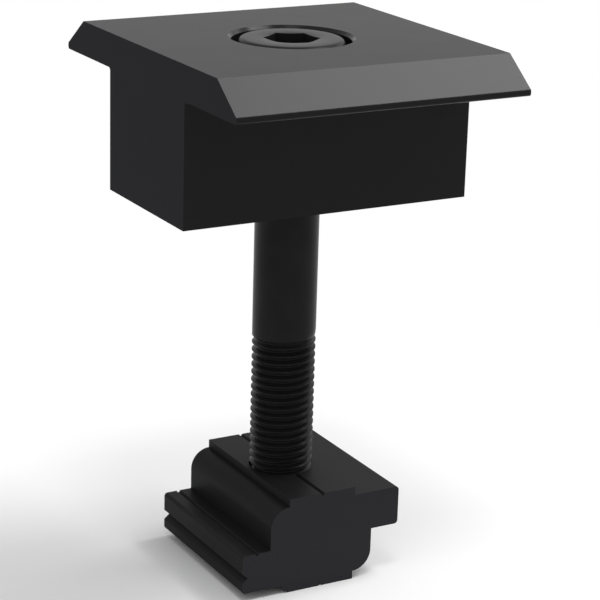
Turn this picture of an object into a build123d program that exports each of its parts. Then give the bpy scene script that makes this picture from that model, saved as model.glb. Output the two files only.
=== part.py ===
"""Mid clamp for a solar module rail: an extruded T-shaped clamp body, the socket head
screw that pulls it down, and the channel nut that holds it in the rail.

X runs along the clamp body's length, Y along the rail and the nut, Z up the screw.
The origin is the middle of the nut's foot. All sizes are in millimetres.
"""

from build123d import *
import os

# Screw, a socket head cap screw with a fine thread
thread_diameter = 8.0
thread_pitch = 1.0
shank_length = 55.0
head_diameter = 13.0
head_height = 8.0
head_rounding = 0.7
neck_rounding = 0.35
key_size = 6.0              # across the socket's flats
key_depth = 5.0
key_turn = 5.8              # the way the socket points at rest, in degrees
key_mouth = 0.3             # how far the socket's corners are countersunk
drill_point_height = 1.1

# Clamp body, an extrusion cut to length
body_length = 38.5
body_height = 19.4
block_width = 20.2
wing_reach = 12.6           # from the block's side to the wing's tip
slope_run = 4.7             # the sloped edge of the cap, across
slope_drop = 3.5            # and down
tip_height = 0.75
tip_rounding = 0.35
root_rounding = 0.4
mouth_chamfer = 0.4         # round the mouth of the counterbore

# Channel nut, an extrusion cut to length: its two halves are alike, turned half round
nut_length = 22.0
nut_height = 12.5
boss_half_width = 4.65
waist_half_width = 7.2
nut_half_width = 11.05
boss_step = 1.05            # from the boss to the shoulder, and to the wing
wing_thickness = 5.05
step_slant = 1.0            # the one boss step that slopes
wing_rounding = 0.45
groove_width = 0.55
groove_depth = 0.35
wing_groove_inset = 2.0     # from the wing's end to the groove on its top
notch_height = 1.3
notch_depth = 0.75
notch_drop = 0.5            # the notch's middle below the wing's middle

# Fits
head_recess = 0.1
head_clearance = 0.8
shank_clearance = 0.5
thread_clearance = 0.05
tip_inset = 4.4             # from the nut's foot up to the screw's tip

# Worked out from the sizes above
thread_radius = thread_diameter / 2
head_radius = head_diameter / 2
screw_tip = tip_inset
head_seat = screw_tip + shank_length
head_top = head_seat + head_height
body_top = head_top + head_recess
body_foot = body_top - body_height
cap_thickness = slope_drop + tip_height
cap_foot = body_top - cap_thickness
block_half_width = block_width / 2
wing_tip = block_half_width + wing_reach
tip_chamfer = 0.61 * thread_pitch
shoulder_radius = waist_half_width - boss_half_width
shoulder_top = boss_step + shoulder_radius
wing_top = boss_step + wing_thickness
far_wing_foot = nut_height - wing_top
far_wing_top = nut_height - boss_step
wing_middle = (boss_step + wing_top) / 2


# Clamp body: the T section, then the stepped hole for the screw
with BuildPart() as clamp_body:
    with BuildSketch(Plane.YZ) as body_section:
        with BuildLine() as body_outline:
            Polyline(
                (0, body_foot),
                (block_half_width, body_foot),
                (block_half_width, cap_foot),
                (wing_tip, cap_foot),
                (wing_tip, cap_foot + tip_height),
                (wing_tip - slope_run, body_top),
                (0, body_top),
            )
            mirror(about=Plane.YZ)
        make_face()
        corners = body_section.vertices()
        tips = corners.filter_by(lambda corner: abs(abs(corner.X) - wing_tip) < 0.01)
        fillet(tips, tip_rounding)
        inner_corners = body_section.vertices().filter_by(
            lambda corner: abs(abs(corner.X) - block_half_width) < 0.01
            and abs(corner.Y - cap_foot) < 0.01
        )
        fillet(inner_corners, root_rounding)
    extrude(amount=body_length / 2, both=True)
    with Locations((0, 0, body_top)):
        CounterBoreHole(
            radius=thread_radius + shank_clearance,
            counter_bore_radius=head_radius + head_clearance,
            counter_bore_depth=head_height + head_recess,
            depth=body_height,
        )
    mouth = (
        clamp_body.faces()
        .sort_by(Axis.Z)[-1]
        .edges()
        .filter_by(GeomType.CIRCLE)
    )
    chamfer(mouth, mouth_chamfer)


# Screw: turned head, neck and shank, then the key socket with its drill point
with BuildPart() as bolt:
    with BuildSketch(Plane.XZ) as screw_section:
        with BuildLine():
            Polyline(
                (0, head_top),
                (head_radius, head_top),
                (head_radius, head_seat),
                (thread_radius, head_seat),
                (thread_radius, screw_tip + tip_chamfer),
                (thread_radius - tip_chamfer, screw_tip),
                (0, screw_tip),
                (0, head_top),
            )
        make_face()
        head_rim = screw_section.vertices().filter_by(
            lambda corner: corner.X > head_radius - 0.01 and corner.Y > head_top - 0.01
        )
        fillet(head_rim, head_rounding)
        neck = screw_section.vertices().filter_by(
            lambda corner: abs(corner.X - thread_radius) < 0.01
            and abs(corner.Y - head_seat) < 0.01
        )
        fillet(neck, neck_rounding)
    revolve(axis=Axis.Z)
    with BuildSketch(Plane.XY.offset(head_top)) as key_section:
        RegularPolygon(
            radius=key_size / 2,
            side_count=6,
            major_radius=False,
            rotation=key_turn,
        )
    extrude(amount=-key_depth, mode=Mode.SUBTRACT)
    with Locations((0, 0, head_top - key_depth - drill_point_height / 2)):
        Cone(
            bottom_radius=0,
            top_radius=key_size / 2,
            height=drill_point_height,
            mode=Mode.SUBTRACT,
        )
    with Locations((0, 0, head_top - key_mouth / 2)):
        Cone(
            bottom_radius=key_size / 2,
            top_radius=key_size / 2 + 2 * key_mouth,
            height=key_mouth,
            mode=Mode.SUBTRACT,
        )


# Channel nut: one half of the section, the same half turned round, then its grooves
with BuildPart() as nut:
    with BuildSketch(Plane.XZ) as nut_section:
        with BuildLine():
            Polyline((0, nut_height), (0, 0), (boss_half_width, 0))
            Line((boss_half_width, 0), (boss_half_width, boss_step))
            CenterArc(
                (boss_half_width, shoulder_top),
                shoulder_radius,
                start_angle=270,
                arc_size=90,
            )
            Polyline(
                (waist_half_width, shoulder_top),
                (waist_half_width, far_wing_foot),
                (nut_half_width, far_wing_foot),
                (nut_half_width, far_wing_top),
                (boss_half_width, far_wing_top),
                (boss_half_width, nut_height),
                (0, nut_height),
            )
        make_face()
        wing_corners = nut_section.vertices().filter_by(
            lambda corner: corner.X > nut_half_width - 0.01
        )
        fillet(wing_corners, wing_rounding)
        with Locations((0, nut_height)):
            add(nut_section.sketch_local, rotation=180)
        with Locations((-boss_half_width, boss_step)):
            Polygon((0, 0), (-step_slant, 0), (0, -boss_step), align=None)
        for groove_x, groove_z, opening in (
            (0, nut_height, 1),
            (0, 0, -1),
            (-nut_half_width + wing_groove_inset, wing_top, 1),
        ):
            with Locations((groove_x, groove_z)):
                Polygon(
                    (-groove_width / 2, 0),
                    (0, -opening * groove_depth),
                    (groove_width / 2, 0),
                    align=None,
                    mode=Mode.SUBTRACT,
                )
        with Locations((-nut_half_width, wing_middle - notch_drop)):
            Polygon(
                (0, -notch_height / 2),
                (notch_depth, 0),
                (0, notch_height / 2),
                align=None,
                mode=Mode.SUBTRACT,
            )
    extrude(amount=nut_length / 2, both=True)
    Hole(radius=thread_radius + thread_clearance)


clamp_body.part.label = "clamp_body"
bolt.part.label = "bolt"
nut.part.label = "nut"

os.makedirs("parts", exist_ok=True)
export_step(clamp_body.part, "parts/clamp_body.step")
export_step(bolt.part, "parts/bolt.step")
export_step(nut.part, "parts/nut.step")
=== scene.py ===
"""The looks of a solar mid clamp: black anodised extrusions and a black socket head screw."""

import math

import bmesh
import bpy
from mathutils import Matrix, Vector


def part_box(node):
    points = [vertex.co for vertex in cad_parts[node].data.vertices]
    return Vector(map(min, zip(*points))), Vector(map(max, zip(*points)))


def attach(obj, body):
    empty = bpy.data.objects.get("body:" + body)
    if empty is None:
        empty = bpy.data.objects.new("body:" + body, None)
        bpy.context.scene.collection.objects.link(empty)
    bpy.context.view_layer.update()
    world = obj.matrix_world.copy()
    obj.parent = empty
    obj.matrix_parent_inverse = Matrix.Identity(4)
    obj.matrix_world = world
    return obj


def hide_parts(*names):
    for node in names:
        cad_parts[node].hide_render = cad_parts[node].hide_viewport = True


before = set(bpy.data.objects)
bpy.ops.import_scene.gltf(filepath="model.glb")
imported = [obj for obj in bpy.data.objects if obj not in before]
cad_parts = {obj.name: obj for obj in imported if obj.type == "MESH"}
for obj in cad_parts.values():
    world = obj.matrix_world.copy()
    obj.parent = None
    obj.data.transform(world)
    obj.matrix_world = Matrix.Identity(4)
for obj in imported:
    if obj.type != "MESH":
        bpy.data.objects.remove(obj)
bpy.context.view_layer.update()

MM = 0.001


# ---------------------------------------------------------------- sizes
body_low, body_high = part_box("clamp_body")
bolt_low, bolt_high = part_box("bolt")
nut_low, nut_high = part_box("nut")

# The screw's head, in millimetres
HEAD_RADIUS = (bolt_high.x - bolt_low.x) / 2 / MM
HEAD_TOP = bolt_high.z / MM
HEAD_HEIGHT = 8.0
SEAT_GAP = 0.01             # keeps the head's underside just out of the face it sits on
HEAD_SEAT = HEAD_TOP - HEAD_HEIGHT + SEAT_GAP
HEAD_ROUNDING = 0.7
SEAT_ROUNDING = 0.25
NECK_ROUNDING = 0.35

# The key socket in it, in millimetres
KEY_SIZE = 6.0              # across the flats
KEY_CORNER = KEY_SIZE / 2 / math.cos(math.pi / 6)
KEY_DEPTH = 5.0
KEY_TURN = math.radians(5.8)
MOUTH_RADIUS = KEY_CORNER + 0.06
MOUTH_SLOPE = 1 / 6         # how far the countersunk mouth falls on its way in
DRILL_RADIUS = 2.9
DRILL_POINT = 1.1

# The screw's thread, in millimetres
SCREW_TIP = bolt_low.z / MM
THREAD_IN_VIEW = 17.7
THREAD_START = nut_high.z / MM + THREAD_IN_VIEW
THREAD_RADIUS = 4.0
THREAD_PITCH = 1.0
THREAD_DEPTH = 0.61 * THREAD_PITCH
THREAD_ROOT = THREAD_RADIUS - THREAD_DEPTH
THREAD_CREST = THREAD_PITCH / 8
ROOT_HOLLOW = THREAD_DEPTH / 11
FLANK_ANGLE = math.radians(30)
RUN_OUT = 1.2 * THREAD_PITCH
RUN_OUT_CURVE = 0.7
SHANK_FOOT = THREAD_START + 0.6

# How the screw's mesh is made
TURN_STEPS = 96
SPARE_TURNS = 2             # wound past each end of the thread, and cut off again
MERGE = 0.004
RING_SLACK = 0.003
CUT_SLACK = 0.0005
SHARP_EDGE = math.radians(32)

# The depth of a finish's grain, and the slack in telling one face from the next
SKIN = 0.01 * MM


# ---------------------------------------------------------------- shader helpers
class Socket:
    """One output of a node, with the arithmetic that a mask or a mix needs."""

    def __init__(self, output):
        self.output = output

    def math(self, operation, *values):
        node = self.output.id_data.nodes.new("ShaderNodeMath")
        node.operation = operation
        for slot, value in zip(node.inputs, values):
            plug(slot, value)
        return Socket(node.outputs[0])

    def __add__(self, other):
        return self.math("ADD", self, other)

    def __radd__(self, other):
        return self.math("ADD", other, self)

    def __sub__(self, other):
        return self.math("SUBTRACT", self, other)

    def __rsub__(self, other):
        return self.math("SUBTRACT", other, self)

    def __mul__(self, other):
        return self.math("MULTIPLY", self, other)

    def __rmul__(self, other):
        return self.math("MULTIPLY", other, self)

    def __gt__(self, other):
        return self.math("GREATER_THAN", self, other)

    def absolute(self):
        return self.math("ABSOLUTE", self)

    def maximum(self, other):
        return self.math("MAXIMUM", self, other)


def plug(slot, value):
    """Links an input to a Socket, or gives it a plain number or colour."""
    if isinstance(value, Socket):
        slot.id_data.links.new(value.output, slot)
    else:
        slot.default_value = value


def called(sockets, identifier):
    """The one with this identifier, among sockets that share their shown names."""
    return next(slot for slot in sockets if slot.identifier == identifier)


class Graph:
    """A node tree, and short ways to add nodes to it."""

    def __init__(self, tree):
        self.tree = tree

    def node(self, kind, settings=None, **inputs):
        made = self.tree.nodes.new(kind)
        for label, value in (settings or {}).items():
            setattr(made, label, value)
        for label, value in inputs.items():
            plug(made.inputs[label.replace("_", " ")], value)
        return made

    def out(self, made, label):
        return Socket(made.outputs[label])

    def position(self, stretch=(1, 1, 1)):
        """Object coordinates, stretched for grain that runs one way."""
        coordinates = self.out(self.node("ShaderNodeTexCoord"), "Object")
        mapping = self.node("ShaderNodeMapping", Vector=coordinates, Scale=stretch)
        return self.out(mapping, "Vector")

    def noise(self, where, scale, detail, roughness=0.55):
        made = self.node(
            "ShaderNodeTexNoise", Vector=where, Scale=scale, Detail=detail, Roughness=roughness
        )
        return self.out(made, "Fac")

    def mix(self, factor, first, second):
        """Two colours mixed by a factor."""
        made = self.node("ShaderNodeMix", {"data_type": "RGBA"})
        plug(called(made.inputs, "Factor_Float"), factor)
        plug(called(made.inputs, "A_Color"), first)
        plug(called(made.inputs, "B_Color"), second)
        return Socket(called(made.outputs, "Result_Color"))

    def spread(self, value, low, high):
        """A 0 to 1 value spread from low to high."""
        made = self.node("ShaderNodeMapRange", Value=value, To_Min=low, To_Max=high)
        return self.out(made, "Result")


class Finish(Graph):
    """A material with one Principled shader, whose sockets take the values given."""

    def __init__(self, name, **values):
        self.material = bpy.data.materials.new(name)
        self.material.use_nodes = True
        super().__init__(self.material.node_tree)
        self.shader = self.tree.nodes["Principled BSDF"]
        for label, value in values.items():
            self.feed(label.replace("_", " "), value)

    def feed(self, label, value):
        plug(self.shader.inputs[label], value)

    def bump(self, height, strength):
        made = self.node("ShaderNodeBump", Height=height, Strength=strength, Distance=SKIN)
        self.feed("Normal", self.out(made, "Normal"))


def grey(value, blue=1.04):
    return (value, value, value * blue, 1)


# ---------------------------------------------------------------- finishes
def anodised(name, bar_axis, low, high, tone, sheen, gloss, worn_above):
    """Black anodised extrusion: satin drawn faces with a grain along the bar, duller sawn ends.

    The bar runs from low to high. Above the height worn_above, where tools and hands rub it, the
    satin is duller too. Tone is its grey, sheen its coat's IOR and gloss its coat's roughness.
    """
    finish = Finish(name, IOR=1.07, Coat_IOR=sheen, Coat_Roughness=gloss)
    place = finish.position()
    axes = finish.node("ShaderNodeSeparateXYZ", Vector=place)
    along, height = finish.out(axes, bar_axis), finish.out(axes, "Z")
    middle, half = (low + high) / 2, (high - low) / 2
    sawn = (along - middle).absolute() > (half - SKIN)
    drawn = 1 - sawn
    worn = height > worn_above
    stretch = [1, 1, 1]
    stretch["XYZ".index(bar_axis)] = 0.05
    grain = finish.noise(finish.position(stretch), scale=2400, detail=3)
    speckle = finish.noise(place, scale=5200, detail=2, roughness=0.7)
    cloud = finish.noise(place, scale=120, detail=3)
    face = finish.mix(cloud, grey(tone * 0.85), grey(tone * 1.15))
    face = finish.mix(grain * 0.5, face, grey(tone * 1.5))
    end = finish.mix(speckle, grey(tone * 2.6, blue=1.1), grey(tone * 3.6, blue=1.1))
    finish.feed("Base Color", finish.mix(sawn, face, end))
    finish.feed("Roughness", finish.spread(cloud, 0.42, 0.5) + speckle * 0.08 + sawn * 0.06)
    satin = drawn * (1 - 0.6 * worn)
    finish.feed("Coat Weight", satin * finish.spread(speckle, 0.75, 1.1))
    finish.bump(grain * drawn + speckle * 0.5, strength=0.1)
    return finish.material


def black_oxide(name):
    """The screw's black oxide: dark, with a thin oil sheen and faint turning marks."""
    finish = Finish(name, IOR=1.1, Coat_IOR=1.22, Coat_Roughness=0.24)
    place = finish.position()
    turning = finish.noise(finish.position((0.05, 0.05, 1)), scale=3200, detail=2)
    speckle = finish.noise(place, scale=4200, detail=2, roughness=0.65)
    cloud = finish.noise(place, scale=260, detail=3)
    finish.feed("Base Color", finish.mix(cloud, grey(0.009, blue=1), grey(0.015, blue=1)))
    finish.feed("Roughness", finish.spread(cloud, 0.36, 0.48) + speckle * 0.08)
    finish.feed("Coat Weight", finish.spread(cloud, 0.25, 0.5))
    finish.bump(turning + speckle * 0.4, strength=0.1)
    return finish.material


# ---------------------------------------------------------------- mesh helpers
def finished_object(name, mesh_builder, material, body, replaced):
    """Turns a mesh built in millimetres into a piece that stands for a node of its body."""
    bmesh.ops.remove_doubles(mesh_builder, verts=mesh_builder.verts, dist=MERGE)
    bmesh.ops.recalc_face_normals(mesh_builder, faces=mesh_builder.faces)
    bmesh.ops.scale(mesh_builder, vec=(MM, MM, MM), verts=mesh_builder.verts)
    mesh = bpy.data.meshes.new(name)
    mesh_builder.to_mesh(mesh)
    mesh_builder.free()
    mesh.materials.append(material)
    mesh.shade_smooth()
    mesh.set_sharp_from_angle(angle=SHARP_EDGE)
    piece = bpy.data.objects.new(name, mesh)
    bpy.context.scene.collection.objects.link(piece)
    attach(piece, body)
    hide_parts(replaced)


def ring_of(mesh, radius, height):
    """The edges of the ring that lies at this radius and height."""
    return [
        edge for edge in mesh.edges
        if all(
            abs(end.co.xy.length - radius) < RING_SLACK and abs(end.co.z - height) < RING_SLACK
            for end in edge.verts
        )
    ]


def turned(mesh, section):
    """A turned surface: a section of (radius, height) corners spun once round the axis."""
    corners = [mesh.verts.new((radius, 0, height)) for radius, height in section]
    lines = [mesh.edges.new(pair) for pair in zip(corners, corners[1:])]
    bmesh.ops.spin(
        mesh, geom=corners + lines, cent=(0, 0, 0), axis=(0, 0, 1), dvec=(0, 0, 0),
        angle=2 * math.pi, steps=TURN_STEPS, use_merge=True, use_duplicate=False,
    )


def round_off(mesh, radius, height, size, segments):
    """Bevels the ring at this radius and height."""
    bmesh.ops.bevel(
        mesh, geom=ring_of(mesh, radius, height), offset=size, segments=segments,
        profile=0.5, affect="EDGES", material=-1,
    )


def pushed(mesh, edges, move):
    """Extrudes a ring of edges, puts each new corner where move says, and gives the new ring."""
    made = bmesh.ops.extrude_edge_only(mesh, edges=edges)["geom"]
    for item in made:
        if isinstance(item, bmesh.types.BMVert):
            item.co = move(item.co)
    return [item for item in made if isinstance(item, bmesh.types.BMEdge)]


def helix(mesh, section, start, turns):
    """A right-hand thread: one pitch of its section wound once round, then stacked."""
    corners = [mesh.verts.new((radius, 0, start + rise)) for radius, rise in section]
    lines = [mesh.edges.new(pair) for pair in zip(corners, corners[1:])]
    bmesh.ops.spin(
        mesh, geom=corners + lines, cent=(0, 0, 0), axis=(0, 0, 1),
        dvec=(0, 0, THREAD_PITCH / TURN_STEPS), angle=2 * math.pi, steps=TURN_STEPS,
        use_merge=False, use_duplicate=False,
    )
    first_turn = mesh.verts[:] + mesh.edges[:] + mesh.faces[:]
    for turn in range(1, turns):
        copied = bmesh.ops.duplicate(mesh, geom=first_turn)["geom"]
        corners = [item for item in copied if isinstance(item, bmesh.types.BMVert)]
        bmesh.ops.translate(mesh, verts=corners, vec=(0, 0, turn * THREAD_PITCH))
    bmesh.ops.remove_doubles(mesh, verts=mesh.verts, dist=MERGE)


# ---------------------------------------------------------------- the screw
def threaded_rod(mesh):
    """The thread with its run-out into the shank and its chamfered end, open at the top."""
    flank_foot = THREAD_ROOT + ROOT_HOLLOW
    flank_rise = (THREAD_RADIUS - flank_foot) * math.tan(FLANK_ANGLE)
    section = (
        (THREAD_RADIUS, 0),
        (THREAD_RADIUS, THREAD_CREST),
        (flank_foot, THREAD_CREST + flank_rise),
        (THREAD_ROOT, (THREAD_CREST + THREAD_PITCH) / 2),
        (flank_foot, THREAD_PITCH - flank_rise),
        (THREAD_RADIUS, THREAD_PITCH),
    )
    turns = math.ceil((THREAD_START - SCREW_TIP) / THREAD_PITCH) + 2 * SPARE_TURNS
    helix(mesh, section, SCREW_TIP - SPARE_TURNS * THREAD_PITCH, turns)
    for corner in mesh.verts:
        radius = corner.co.xy.length
        cut_in = min(1, max(0, (THREAD_START - corner.co.z) / RUN_OUT)) ** RUN_OUT_CURVE
        run_out = THREAD_RADIUS - (THREAD_RADIUS - radius) * cut_in
        chamfer = THREAD_ROOT + max(0, corner.co.z - SCREW_TIP)
        corner.co.xy *= min(run_out, chamfer) / radius
    for height, outwards in ((THREAD_START, 1), (SCREW_TIP, -1)):
        bmesh.ops.bisect_plane(
            mesh, geom=mesh.verts[:] + mesh.edges[:] + mesh.faces[:], dist=CUT_SLACK,
            plane_co=(0, 0, height), plane_no=(0, 0, outwards), clear_outer=True,
        )
    open_edges = [edge for edge in mesh.edges if edge.is_boundary]
    tip_rim = [edge for edge in open_edges if edge.verts[0].co.z < SCREW_TIP + THREAD_PITCH]
    bmesh.ops.contextual_create(mesh, geom=tip_rim)
    return [edge for edge in open_edges if edge not in tip_rim]


def key_socket(mesh, mouth_rim):
    """The countersunk mouth, the six walls, a flat floor and the drill point in it."""
    made = bmesh.ops.create_circle(
        mesh, cap_ends=False, radius=KEY_CORNER, segments=6,
        matrix=Matrix.Rotation(KEY_TURN, 4, "Z"),
    )
    sides = list({edge for corner in made["verts"] for edge in corner.link_edges})
    split = bmesh.ops.subdivide_edges(mesh, edges=sides, cuts=TURN_STEPS // 6 - 1)
    hexagon = [item for item in split["geom"] if isinstance(item, bmesh.types.BMEdge)]
    for corner in {end for edge in hexagon for end in edge.verts}:
        corner.co.z = HEAD_TOP - (MOUTH_RADIUS - corner.co.xy.length) * MOUTH_SLOPE
    bmesh.ops.bridge_loops(mesh, edges=mouth_rim + hexagon)
    floor_height = HEAD_TOP - KEY_DEPTH
    floor_rim = pushed(mesh, hexagon, lambda place: Vector((*place.xy, floor_height)))
    drilled = pushed(
        mesh, floor_rim,
        lambda place: Vector((*(place.xy.normalized() * DRILL_RADIUS), floor_height)),
    )
    pushed(mesh, drilled, lambda place: Vector((0, 0, floor_height - DRILL_POINT)))


def screw():
    """The whole screw: its thread, the turned shank and head above it, and the key socket."""
    mesh = bmesh.new()
    thread_rim = threaded_rod(mesh)
    turned(mesh, (
        (MOUTH_RADIUS, HEAD_TOP),
        (HEAD_RADIUS, HEAD_TOP),
        (HEAD_RADIUS, HEAD_SEAT),
        (THREAD_RADIUS, HEAD_SEAT),
        (THREAD_RADIUS, SHANK_FOOT),
    ))
    bmesh.ops.bridge_loops(mesh, edges=thread_rim + ring_of(mesh, THREAD_RADIUS, SHANK_FOOT))
    key_socket(mesh, ring_of(mesh, MOUTH_RADIUS, HEAD_TOP))
    round_off(mesh, HEAD_RADIUS, HEAD_TOP, HEAD_ROUNDING, segments=6)
    round_off(mesh, HEAD_RADIUS, HEAD_SEAT, SEAT_ROUNDING, segments=2)
    round_off(mesh, THREAD_RADIUS, HEAD_SEAT, NECK_ROUNDING, segments=4)
    return mesh


# ---------------------------------------------------------------- the three pieces
body_finish = anodised(
    "anodised_body", bar_axis="X", low=body_low.x, high=body_high.x,
    tone=0.008, sheen=1.19, gloss=0.20, worn_above=body_high.z - SKIN,
)
nut_finish = anodised(
    "anodised_nut", bar_axis="Y", low=nut_low.y, high=nut_high.y,
    tone=0.010, sheen=1.1, gloss=0.5, worn_above=nut_high.z,
)
screw_finish = black_oxide("black_oxide")

for node, finish in (("clamp_body", body_finish), ("nut", nut_finish)):
    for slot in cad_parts[node].material_slots:
        slot.material = finish

finished_object("socket_screw", screw(), screw_finish, "screw", "bolt")


# ---------------------------------------------------------------- floor, light and camera
def floor():
    """A pale floor that takes the part's shadow and fades into the white behind it."""
    mesh_builder = bmesh.new()
    bmesh.ops.create_grid(mesh_builder, x_segments=1, y_segments=1, size=2.0)
    mesh = bpy.data.meshes.new("floor")
    mesh_builder.to_mesh(mesh)
    mesh_builder.free()
    plane = bpy.data.objects.new("floor", mesh)
    bpy.context.scene.collection.objects.link(plane)
    paper = Finish(
        "floor_paper", Base_Color=grey(0.94, blue=1), Roughness=0.9, Specular_IOR_Level=0
    )
    away = paper.node("ShaderNodeVectorMath", {"operation": "LENGTH"}, Vector=paper.position())
    fade = paper.node(
        "ShaderNodeMapRange", {"interpolation_type": "SMOOTHSTEP"},
        Value=paper.out(away, "Value"), From_Min=0.03, From_Max=0.12, To_Min=1, To_Max=0,
    )
    paper.feed("Alpha", paper.out(fade, "Result"))
    mesh.materials.append(paper.material)


def softbox(name, place, side, radiance, target=(0, 0, 0.05)):
    """A square lamp of a given brightness that faces the target."""
    lamp = bpy.data.lights.new(name, "AREA")
    lamp.shape = "SQUARE"
    lamp.size = side
    lamp.energy = radiance * math.pi * side ** 2
    holder = bpy.data.objects.new(name, lamp)
    bpy.context.scene.collection.objects.link(holder)
    holder.location = place
    holder.rotation_mode = "QUATERNION"
    holder.rotation_quaternion = (Vector(target) - Vector(place)).to_track_quat("-Z", "Y")


def studio_world(fill):
    """White where it is seen, straight or in a reflection, and a plain fill for the rest."""
    world = bpy.data.worlds.new("studio")
    bpy.context.scene.world = world
    world.use_nodes = True
    graph = Graph(world.node_tree)
    rays = graph.node("ShaderNodeLightPath")
    straight, glossy = graph.out(rays, "Is Camera Ray"), graph.out(rays, "Is Glossy Ray")
    shown = straight.maximum(glossy).maximum(graph.out(rays, "Is Transmission Ray"))
    background = graph.tree.nodes["Background"]
    plug(background.inputs["Color"], (1, 1, 1, 1))
    plug(background.inputs["Strength"], shown * (1 - fill) + fill)


def camera(azimuth, elevation, roll, distance, lens, target, slide):
    """A camera on a sphere round the target, slid across its own picture plane."""
    azimuth, elevation, roll = (math.radians(angle) for angle in (azimuth, elevation, roll))
    back = Vector((
        -math.sin(azimuth) * math.cos(elevation),
        -math.cos(azimuth) * math.cos(elevation),
        math.sin(elevation),
    ))
    level = Vector((0, 0, 1)).cross(back).normalized()
    upright = back.cross(level)
    right = math.cos(roll) * level + math.sin(roll) * upright
    up = math.cos(roll) * upright - math.sin(roll) * level
    data = bpy.data.cameras.new("camera")
    data.sensor_width = 36
    data.lens = lens
    data.clip_start = 0.01
    holder = bpy.data.objects.new("camera", data)
    bpy.context.scene.collection.objects.link(holder)
    place = Vector(target) + back * distance + right * slide[0] + up * slide[1]
    turn = Matrix((right, up, back)).transposed().to_4x4()
    holder.matrix_world = Matrix.Translation(place) @ turn
    bpy.context.scene.camera = holder


floor()
studio_world(fill=0.52)
softbox("overhead", place=(0.34, -0.04, 0.6), side=0.26, radiance=11.5)
softbox("overhead_front", place=(-0.09, -0.17, 0.62), side=0.14, radiance=12)
softbox("right_side", place=(0.62, 0.14, 0.3), side=0.3, radiance=1.6)
camera(
    azimuth=29.690, elevation=17.835, roll=1.677, distance=0.264667, lens=127.9,
    target=(0, 0, body_high.z - 0.030), slide=(0.001809, -0.003016),
)

bpy.context.scene.view_settings.view_transform = "Standard"
